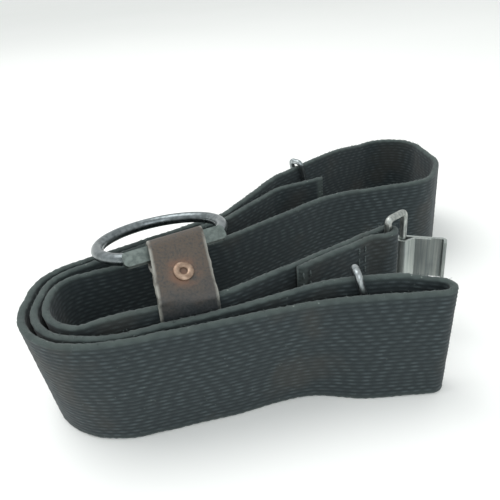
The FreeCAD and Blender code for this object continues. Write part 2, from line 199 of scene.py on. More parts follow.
@dataclass(frozen=True)
class Weave:
    """Ribbed webbing: warp ribs along the strap that float over and dip under the weft."""

    rib: float = 1.85
    float_length: float = 5.8
    slow: tuple[float, float, float] = (17.0, 1.7, 0.16)  # wave length / 2 pi, step per rib, share
    slower: tuple[float, float, float] = (41.0, 2.6, 0.3)
    stagger: float = 0.2  # of a float, between neighbouring ribs
    dip: float = 0.3  # height left where a rib dives under the weft

    def rise(self, along: np.ndarray, across: np.ndarray) -> np.ndarray:
        """Height of the weave, 0 in the gaps to 1 on the floats.

        Args:
            along: distance along the strap, in millimetres.
            across: distance across it, in millimetres.

        Returns:
            The height at each point.
        """
        row = np.floor(across / self.rib)
        drift = sum(c * np.sin(along / a + row * b) for a, b, c in (self.slow, self.slower))
        phase = along / self.float_length + self.stagger * (row % 2) + drift
        crest = 0.5 + 0.5 * np.cos(2 * np.pi * phase)
        ridge = 0.5 - 0.5 * np.cos(2 * np.pi * across / self.rib)
        return ridge * (self.dip + (1 - self.dip) * crest)

    def shader_rise(self, sketch: ShaderSketch, along: Any, across: Any) -> bpy.types.NodeSocket:
        """The same height as rise(), written in shader nodes."""
        m = sketch.math
        row = m("FLOOR", m("DIVIDE", across, self.rib))
        slow, slower = (
            m("SINE", m("MULTIPLY_ADD", row, b, m("DIVIDE", along, a)))
            for a, b, _ in (self.slow, self.slower)
        )
        drift = m("MULTIPLY_ADD", slow, self.slow[2], m("MULTIPLY", slower, self.slower[2]))
        odd = m("MULTIPLY", m("FLOORED_MODULO", row, 2.0), self.stagger)
        phase = m("ADD", m("ADD", m("DIVIDE", along, self.float_length), odd), drift)
        turn = m("COSINE", m("MULTIPLY", phase, 2 * math.pi))
        crest = m("MULTIPLY_ADD", turn, 0.5, 0.5)
        ridge = m("COSINE", m("MULTIPLY", across, 2 * math.pi / self.rib))
        ridge = m("MULTIPLY_ADD", ridge, -0.5, 0.5)
        return m("MULTIPLY", ridge, m("MULTIPLY_ADD", crest, 1 - self.dip, self.dip))


@dataclass(frozen=True)
class WebbingFinish:
    """Heavy cotton webbing, woven and dyed black, faded: matt, greyer on its floats and edges;
    painted shade darkens the weave's gaps and a painted highlight lightens the floats' tops.
    """

    name: str = "faded_black_webbing"
    # painted shade: the darker colour of the weave's valleys between the floats
    painted_gap_shade: str = "252D2F"
    body: str = "2F3739"
    # the floats' tops: greyer from wear, plus a painted highlight where light catches them
    worn_crown_and_highlight: str = "434D4F"
    edge: str = "4D5754"
    fuzz: str = "8F9892"
    rust: str = "3F3C36"
    weave: Weave = Weave()

    def material(self) -> bpy.types.Material:
        """Build the material; it reads the strap's own UV map and its selvedge attribute."""
        s = ShaderSketch(self.name)
        uv = add_node(s.tree, "ShaderNodeUVMap", {"uv_map": "strap"}, {}).outputs[0]
        parts = add_node(s.tree, "ShaderNodeSeparateXYZ", {}, {0: uv})
        along = s.math("MULTIPLY", parts.outputs[0], 1 / MM)
        across = s.math("MULTIPLY", parts.outputs[1], 1 / MM)
        rise = self.weave.shader_rise(s, along, across)
        here = s.place()
        grain = s.cloud(here, 0.7, 4.0)
        wash = s.cloud(here, 26.0, 2.0)
        patch = s.cloud(here, 7.0, 3.0)
        lift = s.math("MULTIPLY_ADD", s.math("SUBTRACT", grain, 0.5), 0.55, rise)
        # painted shade: the weave's low places between the floats take the darker gap colour
        colour = s.mix(s.step(lift, 0.0, 0.45), self.painted_gap_shade, self.body)
        # the floats' tops, in patches: greyer from wear, plus a painted highlight
        worn_crown_and_highlight = s.math("MULTIPLY", s.step(lift, 0.4, 0.95), s.step(patch, 0.3, 0.7))
        colour = s.mix(worn_crown_and_highlight, colour, self.worn_crown_and_highlight)
        stain = s.math("MULTIPLY", s.step(wash, 0.52, 0.72), 0.35)
        colour = s.mix(stain, colour, self.rust)
        selvedge = s.attribute("selvedge")
        worn = s.math("MULTIPLY", selvedge, s.math("MULTIPLY_ADD", patch, 0.9, 0.2))
        colour = s.mix(worn, colour, self.edge)
        lint = s.math("SUBTRACT", 1.0, s.step(s.specks(here, 3.2), 0.0, 0.16))
        lint = s.math("MULTIPLY", lint, s.math("MULTIPLY_ADD", selvedge, 0.7, 0.18))
        lint = s.math("MULTIPLY", lint, s.step(patch, 0.45, 0.6))
        colour = s.mix(lint, colour, self.fuzz)
        s.feed(
            Base_Color=colour,
            Roughness=0.88,
            Specular_IOR_Level=0.25,
            Sheen_Weight=0.12,
            Sheen_Roughness=0.5,
        )
        s.bump(lift, 0.22, 0.7)
        return s.material


@dataclass(frozen=True)
class ThreadFinish:
    """Waxed cotton thread, twisted: greyer than the webbing it holds, with a faint lay."""

    name: str = "waxed_thread"
    dark: str = "2C3335"
    light: str = "6E7876"

    def material(self) -> bpy.types.Material:
        """Build the material on Object coordinates."""
        s = ShaderSketch(self.name)
        here = s.place()
        lay = s.cloud(s.stretch(here, (1, 1, 3)), 0.5, 2.0)
        colour = s.mix(s.step(lay, 0.35, 0.65), self.dark, self.light)
        s.feed(Base_Color=colour, Roughness=0.7, Specular_IOR_Level=0.3)
        s.bump(lay, 0.12)
        return s.material


@dataclass(frozen=True)
class LeatherFinish:
    """Strap leather, dyed black on its grain side: browned high up, rust round the rivet."""

    name: str = "worn_strap_leather"
    dye: str = "262C2E"
    faded: str = "36393C"
    brown: str = "4C4238"
    rust: str = "6E4E3B"
    # the cut edges' colour: undyed leather, plus a painted highlight along the edge thickness
    cut: str = "8A8A83"

    def material(self, rivet: Vector, top: float, foot: float) -> bpy.types.Material:
        """Build the material.

        Args:
            rivet: the rivet's centre, in metres, round which rust has spread.
            top: height where the leather is browned, in metres.
            foot: height under which it keeps its dye, in metres.

        Returns:
            The material, on Object coordinates and the hanger's cut attribute.
        """
        s = ShaderSketch(self.name)
        here = s.place()
        fine = s.cloud(here, 0.9, 5.0)
        blotch = s.cloud(here, 5.0, 3.0)
        height = add_node(s.tree, "ShaderNodeSeparateXYZ", {}, {0: here}).outputs[2]
        ragged = s.math("MULTIPLY_ADD", s.math("SUBTRACT", blotch, 0.5), 0.012, height)
        colour = s.mix(s.step(fine, 0.3, 0.7), self.dye, self.faded)
        brown = s.math("MULTIPLY", s.step(ragged, foot, top), s.step(fine, 0.1, 0.65))
        colour = s.mix(brown, colour, self.brown)
        reach = add_node(
            s.tree, "ShaderNodeVectorMath", {"operation": "DISTANCE"}, {0: here, 1: tuple(rivet)}
        ).outputs["Value"]
        ring = s.math("SUBTRACT", 1.0, s.step(reach, 0.0035, 0.0085))
        ring = s.math("MULTIPLY", ring, s.step(blotch, 0.3, 0.62))
        colour = s.mix(s.math("MULTIPLY", ring, 0.75), colour, self.rust)
        # cut edges, in blotches: undyed leather, plus a painted highlight
        cut = s.math("MULTIPLY", s.attribute("cut"), s.step(blotch, 0.25, 0.6))
        colour = s.mix(cut, colour, self.cut)
        creases = s.specks(s.stretch(here, (1, 1, 0.6)), 1.6)
        height_map = s.math("MULTIPLY_ADD", creases, 0.5, fine)
        s.feed(Base_Color=colour, Roughness=s.math("MULTIPLY_ADD", fine, 0.25, 0.42))
        s.bump(height_map, 0.18, 0.7)
        return s.material


class Make(Enum):
    """How a metal's surface was made, as (streak stretch along z, streak size, bump in mm)."""

    DRAWN = (0.5, 1.2, 0.02)
    ROLLED = (0.04, 0.9, 0.015)
    TUMBLED = (1.0, 2.2, 0.05)


@dataclass(frozen=True)
class MetalFinish:
    """Bare metal that has dulled: a light and a dark tone in streaks or blotches, with pits."""

    name: str
    light: str
    dark: str
    roughness: tuple[float, float]
    make: Make
    grime: str = "23282A"
    grime_share: float = 0.3

    def material(self) -> bpy.types.Material:
        """Build the material on Object coordinates."""
        stretch, size, depth = self.make.value
        s = ShaderSketch(self.name)
        here = s.place()
        streak = s.cloud(s.stretch(here, (1, 1, stretch)), size, 3.0)
        blotch = s.cloud(here, 6.0, 4.0)
        colour = s.mix(s.step(streak, 0.3, 0.7), self.dark, self.light)
        grime = s.math("MULTIPLY", s.step(blotch, 0.5, 0.75), self.grime_share)
        colour = s.mix(grime, colour, self.grime)
        low, high = self.roughness
        rough = s.math("MULTIPLY_ADD", blotch, high - low, low)
        s.feed(Base_Color=colour, Metallic=1.0, Roughness=rough)
        s.bump(streak, depth, 0.6)
        return s.material


RING_STEEL = MetalFinish(
    "aged_ring_steel", "868D8F", "666D6F", (0.2, 0.42), Make.TUMBLED, grime_share=0.18
)
BAR_STEEL = MetalFinish(
    "aged_bar_steel", "7F8985", "646D6A", (0.32, 0.5), Make.TUMBLED, grime_share=0.2
)
LOOP_STEEL = MetalFinish(
    "drawn_loop_steel", "B9BCB7", "8F9491", (0.3, 0.5), Make.DRAWN, grime_share=0.2
)
HOOK_STEEL = MetalFinish(
    "rolled_hook_steel", "BCC1BC", "979F9E", (0.4, 0.55), Make.ROLLED, grime_share=0.12
)
KEEPER_STEEL = MetalFinish(
    "drawn_keeper_wire", "B4B9BA", "7F8789", (0.25, 0.42), Make.DRAWN, grime_share=0.3
)
COPPER = MetalFinish(
    "tarnished_copper", "AE9886", "8A7464", (0.4, 0.6), Make.TUMBLED, "5A4538", 0.35
)


def finish_mesh(
    name: str, vertices: Sequence, faces: Sequence, edges: Sequence = ()
) -> bpy.types.Object:
    """Make an object from metre coordinates, faces and edges, shaded smooth, at the origin."""
    mesh = bpy.data.meshes.new(name)
    mesh.from_pydata([tuple(v) for v in vertices], list(edges), [tuple(f) for f in faces])
    mesh.shade_smooth()
    mesh.update()
    obj = bpy.data.objects.new(name, mesh)
    bpy.context.scene.collection.objects.link(obj)
    return obj


def grid_faces(rows: int, columns: int) -> list[tuple[int, ...]]:
    """Quads of a tube of rows of closed rings, with both ends capped by fans of triangles.

    The two cap centres are the vertices after the grid.
    """
    faces: list[tuple[int, ...]] = []
    for i in range(rows - 1):
        for j in range(columns):
            k = (j + 1) % columns
            a, b = i * columns, (i + 1) * columns
            faces.append((a + j, a + k, b + k, b + j))
    start, end, last = rows * columns, rows * columns + 1, (rows - 1) * columns
    for j in range(columns):
        k = (j + 1) % columns
        faces.append((k, j, start))
        faces.append((last + j, last + k, end))
    return faces


def smooth_line(values: np.ndarray, sigma: float) -> np.ndarray:
    """Gaussian blur of samples along a line, with its ends held."""
    reach = max(1, int(sigma * 3))
    kernel = np.exp(-0.5 * (np.arange(-reach, reach + 1) / sigma) ** 2)
    kernel /= kernel.sum()
    first = 2 * values[0] - values[1 : reach + 1][::-1]
    last = 2 * values[-1] - values[-reach - 1 : -1][::-1]
    return np.convolve(np.concatenate([first, values, last]), kernel, "valid")


def rounded(
    corners: Sequence[Sequence[float]], spacing: float
) -> tuple[list[np.ndarray], list[int]]:
    """Points along straight runs joined by tangent arcs.

    Args:
        corners: each corner's two coordinates and its radius.
        spacing: about how far apart the points of an arc are.

    Returns:
        The points, and for each the number of its corner.
    """
    places = [np.array(c[:2], float) for c in corners]
    points, owners = [places[0]], [0]
    for i in range(1, len(corners) - 1):
        here, radius = places[i], corners[i][2]
        into, out = here - places[i - 1], places[i + 1] - here
        into, out = into / np.linalg.norm(into), out / np.linalg.norm(out)
        bend = math.atan2(into[0] * out[1] - into[1] * out[0], float(into @ out))
        cut = radius * math.tan(abs(bend) / 2)
        if cut < NO_ARC:
            points.append(here)
            owners.append(i)
            continue
        start = here - into * cut
        centre = start + np.array([-into[1], into[0]]) * radius * (1 if bend > 0 else -1)
        spoke = start - centre
        for share in np.linspace(0, 1, max(4, int(abs(bend) * radius / spacing))):
            c, s = math.cos(bend * share), math.sin(bend * share)
            turned = np.array([spoke[0] * c - spoke[1] * s, spoke[0] * s + spoke[1] * c])
            points.append(centre + turned)
            owners.append(i)
    return points + [places[-1]], owners + [len(corners) - 1]


def from_tree(
    name: str, base: bpy.types.Object, tree: bpy.types.NodeTree, values: dict[str, Any]
) -> bpy.types.Object:
    """Run a geometry tree on a base object and keep the result as a plain mesh.

    Args:
        name: the new piece's name.
        base: the object that the tree starts from; it is deleted afterwards.
        tree: the geometry tree.
        values: the tree's inputs by name.

    Returns:
        The new object, at the origin.
    """
    modifier = base.modifiers.new(name, "NODES")
    modifier.node_group = tree
    for item in tree.interface.items_tree:
        if item.item_type == "SOCKET" and item.in_out == "INPUT" and item.name in values:
            modifier[item.identifier] = values[item.name]
    bpy.context.view_layer.update()
    evaluated = base.evaluated_get(bpy.context.evaluated_depsgraph_get())
    mesh = bpy.data.meshes.new_from_object(evaluated)
    mesh.name = name
    base.modifiers.remove(modifier)
    bpy.data.objects.remove(base)
    piece = bpy.data.objects.new(name, mesh)
    bpy.context.scene.collection.objects.link(piece)
    return piece


def open_tree(name: str, lengths: Sequence[str]) -> tuple[bpy.types.NodeTree, bpy.types.Node]:
    """Start a geometry tree with named inputs and a seed.

    Args:
        name: the tree's name.
        lengths: names of its inputs that are lengths.

    Returns:
        The tree and its Group Input node.
    """
    tree = bpy.data.node_groups.new(name, "GeometryNodeTree")
    tree.interface.new_socket("Geometry", in_out="INPUT", socket_type="NodeSocketGeometry")
    for label in lengths:
        tree.interface.new_socket(label, in_out="INPUT", socket_type="NodeSocketFloat")
    tree.interface.new_socket("Seed", in_out="INPUT", socket_type="NodeSocketInt")
    tree.interface.new_socket("Geometry", in_out="OUTPUT", socket_type="NodeSocketGeometry")
    return tree, tree.nodes.new("NodeGroupInput")


def close_tree(
    tree: bpy.types.NodeTree, geometry: bpy.types.NodeSocket, material: bpy.types.Material
) -> None:
    """End a geometry tree in Realize Instances, Set Material and the output."""
    real = add_node(tree, "GeometryNodeRealizeInstances", {}, {0: geometry})
    dressed = {"Geometry": real.outputs[0], "Material": material}
    done = add_node(tree, "GeometryNodeSetMaterial", {}, dressed)
    tree.links.new(done.outputs[0], tree.nodes.new("NodeGroupOutput").inputs[0])


def tree_math(
    tree: bpy.types.NodeTree, operation: str, a: Any, b: Any = 0.0
) -> bpy.types.NodeSocket:
    """One arithmetic step in a geometry tree; returns its value socket."""
    return add_node(tree, "ShaderNodeMath", {"operation": operation}, {0: a, 1: b}).outputs[0]


def tree_random(
    tree: bpy.types.NodeTree, low: Sequence[float], high: Sequence[float], seed: Any
) -> bpy.types.NodeSocket:
    """Random vector between two, from a seed."""
    values = {0: tuple(low), 1: tuple(high), "Seed": seed}
    kind = {"data_type": "FLOAT_VECTOR"}
    return add_node(tree, "FunctionNodeRandomValue", kind, values).outputs[0]


def tree_tube(
    tree: bpy.types.NodeTree, curve: bpy.types.NodeSocket, sides: int, radius: Any
) -> bpy.types.NodeSocket:
    """Closed round tube of a radius along a curve."""
    circle = {"Resolution": sides, "Radius": 1.0}
    profile = add_node(tree, "GeometryNodeCurvePrimitiveCircle", {}, circle).outputs[0]
    values = {"Curve": curve, "Profile Curve": profile, "Scale": radius, "Fill Caps": True}
    return add_node(tree, "GeometryNodeCurveToMesh", {}, values).outputs[0]


@dataclass
class Line:
    """The strap's middle line, sampled evenly: places, directions and heights in millimetres."""

    along: np.ndarray
    x: np.ndarray
    y: np.ndarray
    z: np.ndarray

    def tangents(self) -> tuple[np.ndarray, np.ndarray]:
        """Unit direction at each sample, as x and y."""
        dx, dy = np.gradient(self.x), np.gradient(self.y)
        size = np.hypot(dx, dy)
        return dx / size, dy / size


class Lean:
    """How far the strands' lower edges lean back and in from under their upper edges, in mm."""

    FRONT = ((-103, 6.0), (-76, 4.8), (-62, 3.4), (-20, 3.4), (-6, 5.3), (10, 5.2), (30, 0.0))
    LEFT_IN = (3.8, -65.0, -90.0)
    RIGHT_IN = (-2.4, 48.0, 64.0)
    FADE = (-72.0, -45.0)
    LEFT_FADE = (-60.0, -25.0)

    @staticmethod
    def ease(value: np.ndarray, start: float, end: float) -> np.ndarray:
        """Smooth step from 0 at start to 1 at end."""
        share = np.clip((value - start) / (end - start), 0, 1)
        return share * share * (3 - 2 * share)

    @classmethod
    def at(cls, x: np.ndarray, y: np.ndarray) -> tuple[np.ndarray, np.ndarray]:
        """Lean of the lower edge at plan places.

        Args:
            x: places along the coil.
            y: places across it.

        Returns:
            How far the lower edge is moved along x and y.
        """
        places, leans = zip(*cls.FRONT)
        front = 1 - cls.ease(y, *cls.FADE)
        back = np.interp(x, places, leans) * front
        left, right = cls.LEFT_IN, cls.RIGHT_IN
        inward = left[0] * cls.ease(x, left[1], left[2]) * (1 - cls.ease(y, *cls.LEFT_FADE))
        return inward + right[0] * cls.ease(x, right[1], right[2]) * front, back


@dataclass
class Strap:
    """The belt's webbing, its sewn fold's stitching and the fuzz on its edges."""

    width: float = 50.0
    thick: float = 3.2
    lift: float = 4.0
    steps: int = 850
    ribs: int = 26
    rib_depth: float = 0.22
    selvedge: float = 1.5
    edge_round: float = 1.0
    frill: tuple[float, float, float] = (0.16, 3.7, 0.28)  # wave, its length, ragged share
    waver: tuple[float, float] = (0.25, 23.0)  # lean to and fro, its length / 2 pi
    end_taper: float = 3.0
    fold_back: float = 51.0
    bar_pitch: float = 3.5
    layer_pitch: float = 3.4
    hook_run: tuple[float, float] = (82.0, 31.4)
    fold_closes: tuple[float, float] = (3.0, 11.0)
    stitch_rows: tuple[float, ...] = (15.0, 18.5, 45.5, 49.0)
    stitches_in_row: int = 9
    stitch_pitch: float = 5.0
    stitch_margin: float = 5.5
    stitch_proud: float = 0.05
    finish: WebbingFinish = WebbingFinish()
    thread: ThreadFinish = ThreadFinish()
    shift: Vector = field(default_factory=lambda: Vector((0, 0, 0)))

    def corners(self) -> list[tuple[float, float, float, float]]:
        """Plan corners of the middle line from the free end: x, y, radius, lower edge's height."""
        up = self.lift
        free_end = [(44.5, 33.5, 0, 0), (17.0, 23.4, 22, 0), (-10.7, -9.6, 30, 0)]
        middle_bend = [(-87.6, -54.0, 18, 0), (-87.6, -98.4, 26, 0), (-52.0, -101.4, 40, 0)]
        keeper_strand = [(-14.0, -91.2, 80, 0), (30.0, -83.0, 60, up), (58.0, -82.5, 0, up)]
        front_bend = [(76.5, -82.4, 4.2, 0), (76.5, -91.2, 4.2, 0)]
        front_strand = [(24.0, -90.3, 120, 0), (-54.0, -105.5, 60, 0)]
        outer_bend = [(-92.4, -103.0, 30, 0), (-92.4, -51.4, 22, 0)]
        back_strand = [(-13.8, -6.0, 34, 0), (17.2, 31.0, 26, up), (58.0, 66.7, 0, up)]
        back_bend = [(88.0, 93.0, 22, 0), (110.5, 84.0, 18, 0), (114.2, 44.0, 30, 0)]
        inner_strand = [(101.0, 16.8, 22, 0), (46.0, 8.8, 60, 0), (-13.0, -32.6, 60, 0)]
        inner_bend = [(-60.0, -50.0, 60, 0), (-83.2, -57.5, 14, 0), (-83.2, -93.6, 22, 0)]
        hook_strand = [(-55.0, -94.9, 30, up), (-10.0, -84.2, 30, up)]
        return (
            free_end + middle_bend + keeper_strand + front_bend + front_strand + outer_bend
            + back_strand + back_bend + inner_strand + inner_bend + hook_strand
            + self.fold_corners(hook_strand[-1])
        )

    def fold_corners(self, start: Sequence[float]) -> list[tuple[float, float, float, float]]:
        """Corners round the loop's bar and back along the strap, for the sewn fold."""
        reach, angle = self.hook_run
        u = Vector((math.cos(math.radians(angle)), math.sin(math.radians(angle))))
        v = Vector((-u.y, u.x))
        first = Vector(start[:2])
        local = [
            (reach + self.bar_pitch, 0, self.bar_pitch),
            (reach + self.bar_pitch, -2 * self.bar_pitch, self.bar_pitch),
            (reach - self.fold_closes[0], -2 * self.bar_pitch, 6),
            (reach - self.fold_closes[1], -self.layer_pitch, 6),
            (reach - self.fold_back, -self.layer_pitch, 0),
        ]
        points = [(first + u * a + v * b, r) for a, b, r in local]
        return [(p.x, p.y, r, self.lift) for p, r in points]

    def line(self) -> Line:
        """Sample the middle line through its corners, softened where bends meet straights."""
        corners = self.corners()
        points, owners = rounded(corners, 0.5)
        x, y = np.array(points).T
        z = np.array([corners[i][3] for i in owners], float)
        run = np.concatenate([[0], np.cumsum(np.hypot(np.diff(x), np.diff(y)))])
        fine = np.arange(0, run[-1], 0.25)
        x, y, z = (np.interp(fine, run, v) for v in (x, y, z))
        x, y, z = smooth_line(x, 3.2), smooth_line(y, 3.2), smooth_line(z, 20.0)
        even = np.linspace(0, fine[-1], self.steps)
        return Line(even, *(np.interp(even, fine, v) for v in (x, y, z)))

    def settle(self) -> Line:
        """The middle line moved so that it lies in the webbing's solid."""
        line = self.line()
        tx, ty = line.tangents()
        half = self.thick / 2
        sides = [(line.x - ty * k * half, line.y + tx * k * half) for k in (-1, 1)]
        low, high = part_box("belt_webbing")
        for axis in (0, 1):
            values = np.concatenate([side[axis] for side in sides])
            centre = (low[axis] + high[axis]) / 2 / MM
            self.shift[axis] = centre - (values.min() + values.max()) / 2
        line.x += self.shift.x
        line.y += self.shift.y
        return line

    def section(self) -> tuple[np.ndarray, np.ndarray, np.ndarray]:
        """The strap's outline across its width, as a closed ring.

        Returns:
            For each point: side (-1 or 1, between them on the edges), height across, and how
            much it is selvedge.
        """
        inset = self.edge_round
        face = np.linspace(inset, self.width - inset, self.ribs * 2 + 1)
        arc = np.linspace(0, math.pi, 6)[1:-1]
        side = np.concatenate([np.ones(len(face)), np.cos(arc), -np.ones(len(face)), -np.cos(arc)])
        top = self.width - inset + inset * np.sin(arc)
        bottom = inset - inset * np.sin(arc)
        across = np.concatenate([face, top, face[::-1], bottom])
        edge_distance = np.minimum(across, self.width - across)
        return side, across, np.exp(-((edge_distance / self.selvedge) ** 2))

    def build(self, line: Line) -> bpy.types.Object:
        """Weave the strap's mesh with its ribs, soft edges and small waves."""
        side, across, selvedge = self.section()
        tx, ty = line.tangents()
        s, w = line.along[:, None], across[None, :]
        rise = self.finish.weave.rise(s + 0 * w, w + 0 * s)
        flat = np.clip((np.abs(side) - 0.98) / 0.02, 0, 1)[None, :]
        out = self.thick / 2 - self.rib_depth + self.rib_depth * np.where(flat > 0, rise, 0.6)
        rng = np.random.default_rng(11)
        ragged = smooth_line(rng.normal(0, 1, len(line.along)), 1.4)
        wave, length, torn = self.frill
        frill = wave * np.cos(2 * np.pi * s / length) + torn * ragged[:, None]
        ends = np.clip(np.minimum(s, s[-1] - s) / self.end_taper, 0, 1) ** 0.5
        out = out * (0.55 + 0.45 * ends)
        sway, length = self.waver
        offset = side[None, :] * out + sway * np.sin(s / length) * (w / self.width - 0.5) * 2
        height = line.z[:, None] + w
        height = height + frill * selvedge[None, :] * np.sign(w - self.width / 2)
        height = np.maximum(height, 0.0)
        x = line.x[:, None] - ty[:, None] * offset
        y = line.y[:, None] + tx[:, None] * offset
        lean_x, lean_y = (smooth_line(v, 2.0)[:, None] for v in Lean.at(line.x, line.y))
        low = 1 - w / self.width
        grid = np.stack([x + lean_x * low, y + lean_y * low, height], -1)
        caps = [grid[0].mean(0), grid[-1].mean(0)]
        vertices = np.concatenate([grid.reshape(-1, 3), caps]) * MM
        rows, columns = grid.shape[:2]
        piece = finish_mesh("strap_webbing", vertices, grid_faces(rows, columns))
        self.map_strap(piece.data, line.along, across, selvedge)
        piece.data.materials.append(self.finish.material())
        return piece

    def map_strap(
        self,
        mesh: bpy.types.Mesh,
        along: np.ndarray,
        across: np.ndarray,
        selvedge: np.ndarray,
    ) -> None:
        """Give the strap its UV map, in metres along and across, and its selvedge attribute."""
        rows, columns = len(along), len(across)
        u = np.concatenate([np.repeat(along, columns), [along[0], along[-1]]]) * MM
        v = np.concatenate([np.tile(across, rows), [self.width / 2] * 2]) * MM
        corner = np.zeros(len(mesh.loops), np.int32)
        mesh.loops.foreach_get("vertex_index", corner)
        layer = mesh.uv_layers.new(name="strap")
        places = np.stack([u[corner], v[corner]], -1)
        layer.data.foreach_set("uv", places.ravel().astype(np.float32))
        attribute = mesh.attributes.new("selvedge", "FLOAT", "POINT")
        worn = np.tile(selvedge, rows).reshape(rows, columns)
        worn[:3] = worn[-3:] = 1.0
        attribute.data.foreach_set(
            "value", np.concatenate([worn.ravel(), [1.0, 1.0]]).astype(np.float32)
        )

    def stitch_tree(self) -> bpy.types.NodeTree:
        """Tree that lays a rounded stitch on every point, turned to face out of the webbing."""
        tree, group = open_tree("stitch_rows", ("Stitch length", "Thread radius"))
        half = tree_math(tree, "MULTIPLY", group.outputs["Stitch length"], 0.5)
        ends = [
            add_node(tree, "ShaderNodeCombineXYZ", {}, {2: height}).outputs[0]
            for height in (tree_math(tree, "MULTIPLY", half, -1.0), half)
        ]
        rod = add_node(
            tree, "GeometryNodeCurvePrimitiveLine", {}, {"Start": ends[0], "End": ends[1]}
        )
        fine = add_node(
            tree, "GeometryNodeResampleCurve", {}, {"Curve": rod.outputs[0], "Count": 9}
        )
        share = add_node(tree, "GeometryNodeSplineParameter", {}, {}).outputs["Factor"]
        swell = tree_math(tree, "SINE", tree_math(tree, "MULTIPLY", share, math.pi))
        swell = tree_math(tree, "POWER", swell, 0.4)
        thread = tree_math(tree, "MULTIPLY", swell, group.outputs["Thread radius"])
        mesh = tree_tube(tree, fine.outputs[0], 8, thread)
        outward = add_node(
            tree,
            "GeometryNodeInputNamedAttribute",
            {"data_type": "FLOAT_VECTOR"},
            {"Name": "outward"},
        ).outputs[0]
        turn = add_node(
            tree, "FunctionNodeAlignRotationToVector", {"axis": "X"}, {"Vector": outward}
        )
        far = (0.09, 0.03, 0.03)
        tilt = tree_random(tree, tuple(-v for v in far), far, group.outputs["Seed"])
        tipped = add_node(
            tree,
            "FunctionNodeRotateRotation",
            {"rotation_space": "LOCAL"},
            {0: turn.outputs[0], 1: tilt},
        )
        sockets = {"Points": group.outputs[0], "Instance": mesh, "Rotation": tipped.outputs[0]}
        placed = add_node(tree, "GeometryNodeInstanceOnPoints", {}, sockets)
        close_tree(tree, placed.outputs[0], self.thread.material())
        return tree

    def fuzz_tree(self, material: bpy.types.Material) -> bpy.types.NodeTree:
        """Tree that scatters short curled fibres along a line."""
        tree, group = open_tree("edge_fuzz", ("Spacing", "Fibre length", "Fibre radius"))
        length, seed = group.outputs["Fibre length"], group.outputs["Seed"]
        line = add_node(tree, "GeometryNodeMeshToCurve", {}, {0: group.outputs[0]})
        spots = add_node(
            tree,
            "GeometryNodeResampleCurve",
            {"mode": "LENGTH"},
            {"Curve": line.outputs[0], "Length": group.outputs["Spacing"]},
        )
        low, high = (-1.3 * MM, -1.3 * MM, -0.5 * MM), (1.3 * MM, 1.3 * MM, 0.0)
        moved = {"Geometry": spots.outputs[0], "Offset": tree_random(tree, low, high, seed)}
        spots = add_node(tree, "GeometryNodeSetPosition", {}, moved)
        curl = []
        for side, rise in ((0.25, 0.6), (0.7, 0.75)):
            parts = [tree_math(tree, "MULTIPLY", length, share) for share in (side, rise)]
            point = add_node(tree, "ShaderNodeCombineXYZ", {}, {0: parts[0], 2: parts[1]})
            curl.append(point.outputs[0])
        fibre = add_node(
            tree,
            "GeometryNodeCurveQuadraticBezier",
            {},
            {"Resolution": 4, "Start": (0, 0, 0), "Middle": curl[0], "End": curl[1]},
        )
        hair = tree_tube(tree, fibre.outputs[0], 3, group.outputs["Fibre radius"])
        turn = tree_random(tree, (-1.1, -1.1, 0.0), (1.1, 1.1, 2 * math.pi), seed)
        size = add_node(
            tree,
            "FunctionNodeRandomValue",
            {"data_type": "FLOAT"},
            {2: 0.35, 3: 1.2, "Seed": seed},
        ).outputs[1]
        sockets = {"Points": spots.outputs[0], "Instance": hair, "Rotation": turn, "Scale": size}
        placed = add_node(tree, "GeometryNodeInstanceOnPoints", {}, sockets)
        close_tree(tree, placed.outputs[0], material)
        return tree

    def fuzz(self, line: Line) -> bpy.types.Object:
        """Loose fibre ends along the strap's upper edge."""
        places = np.stack([line.x, line.y, line.z + self.width], -1) * MM
        edges = [(i, i + 1) for i in range(len(places) - 1)]
        base = finish_mesh("fuzz_line", places, [], edges)
        sizes = {"Spacing": 0.9 * MM, "Fibre length": 1.5 * MM, "Fibre radius": 0.06 * MM}
        sizes["Seed"] = 21
        return from_tree("edge_fibres", base, self.fuzz_tree(self.thread.material()), sizes)

    def stitches(self) -> bpy.types.Object:
        """Rows of thread on both faces of the sewn fold."""
        last_corner = self.corners()[-len(self.fold_corners((0, 0))) - 1]
        start = Vector((*last_corner[:2], 0)) + self.shift
        angle = math.radians(self.hook_run[1])
        u = Vector((math.cos(angle), math.sin(angle), 0))
        v = Vector((-u.y, u.x, 0))
        places, facing = [], []
        for row in self.stitch_rows:
            for k in range(self.stitches_in_row):
                z = self.lift + self.stitch_margin + k * self.stitch_pitch
                for level, way in ((self.thick / 2, 1), (-self.layer_pitch - self.thick / 2, -1)):
                    across = level + self.stitch_proud * way
                    spot = start + u * (self.hook_run[0] - row) + v * across
                    places.append(tuple((spot + Vector((0, 0, z))) * MM))
                    facing.append(v * way)
        base = finish_mesh("stitch_places", places, [])
        outward = base.data.attributes.new("outward", "FLOAT_VECTOR", "POINT")
        outward.data.foreach_set("vector", np.array(facing, np.float32).ravel())
        sizes = {"Stitch length": 3.4 * MM, "Thread radius": 0.42 * MM, "Seed": 5}
        return from_tree("fold_threads", base, self.stitch_tree(), sizes)


def section_line(corners: Sequence[tuple[float, float, float]], step: float) -> np.ndarray:
    """Sample a line of straight runs with rounded corners.

    Args:
        corners: x, y and corner radius of each point.
        step: spacing of the samples.

    Returns:
        Evenly spaced points.
    """
    line = np.array(rounded(corners, 0.2)[0])
    run = np.concatenate([[0], np.cumsum(np.linalg.norm(np.diff(line, axis=0), axis=1))])
    even = np.linspace(0, run[-1], int(run[-1] / step) + 2)
    return np.stack([np.interp(even, run, line[:, k]) for k in (0, 1)], -1)


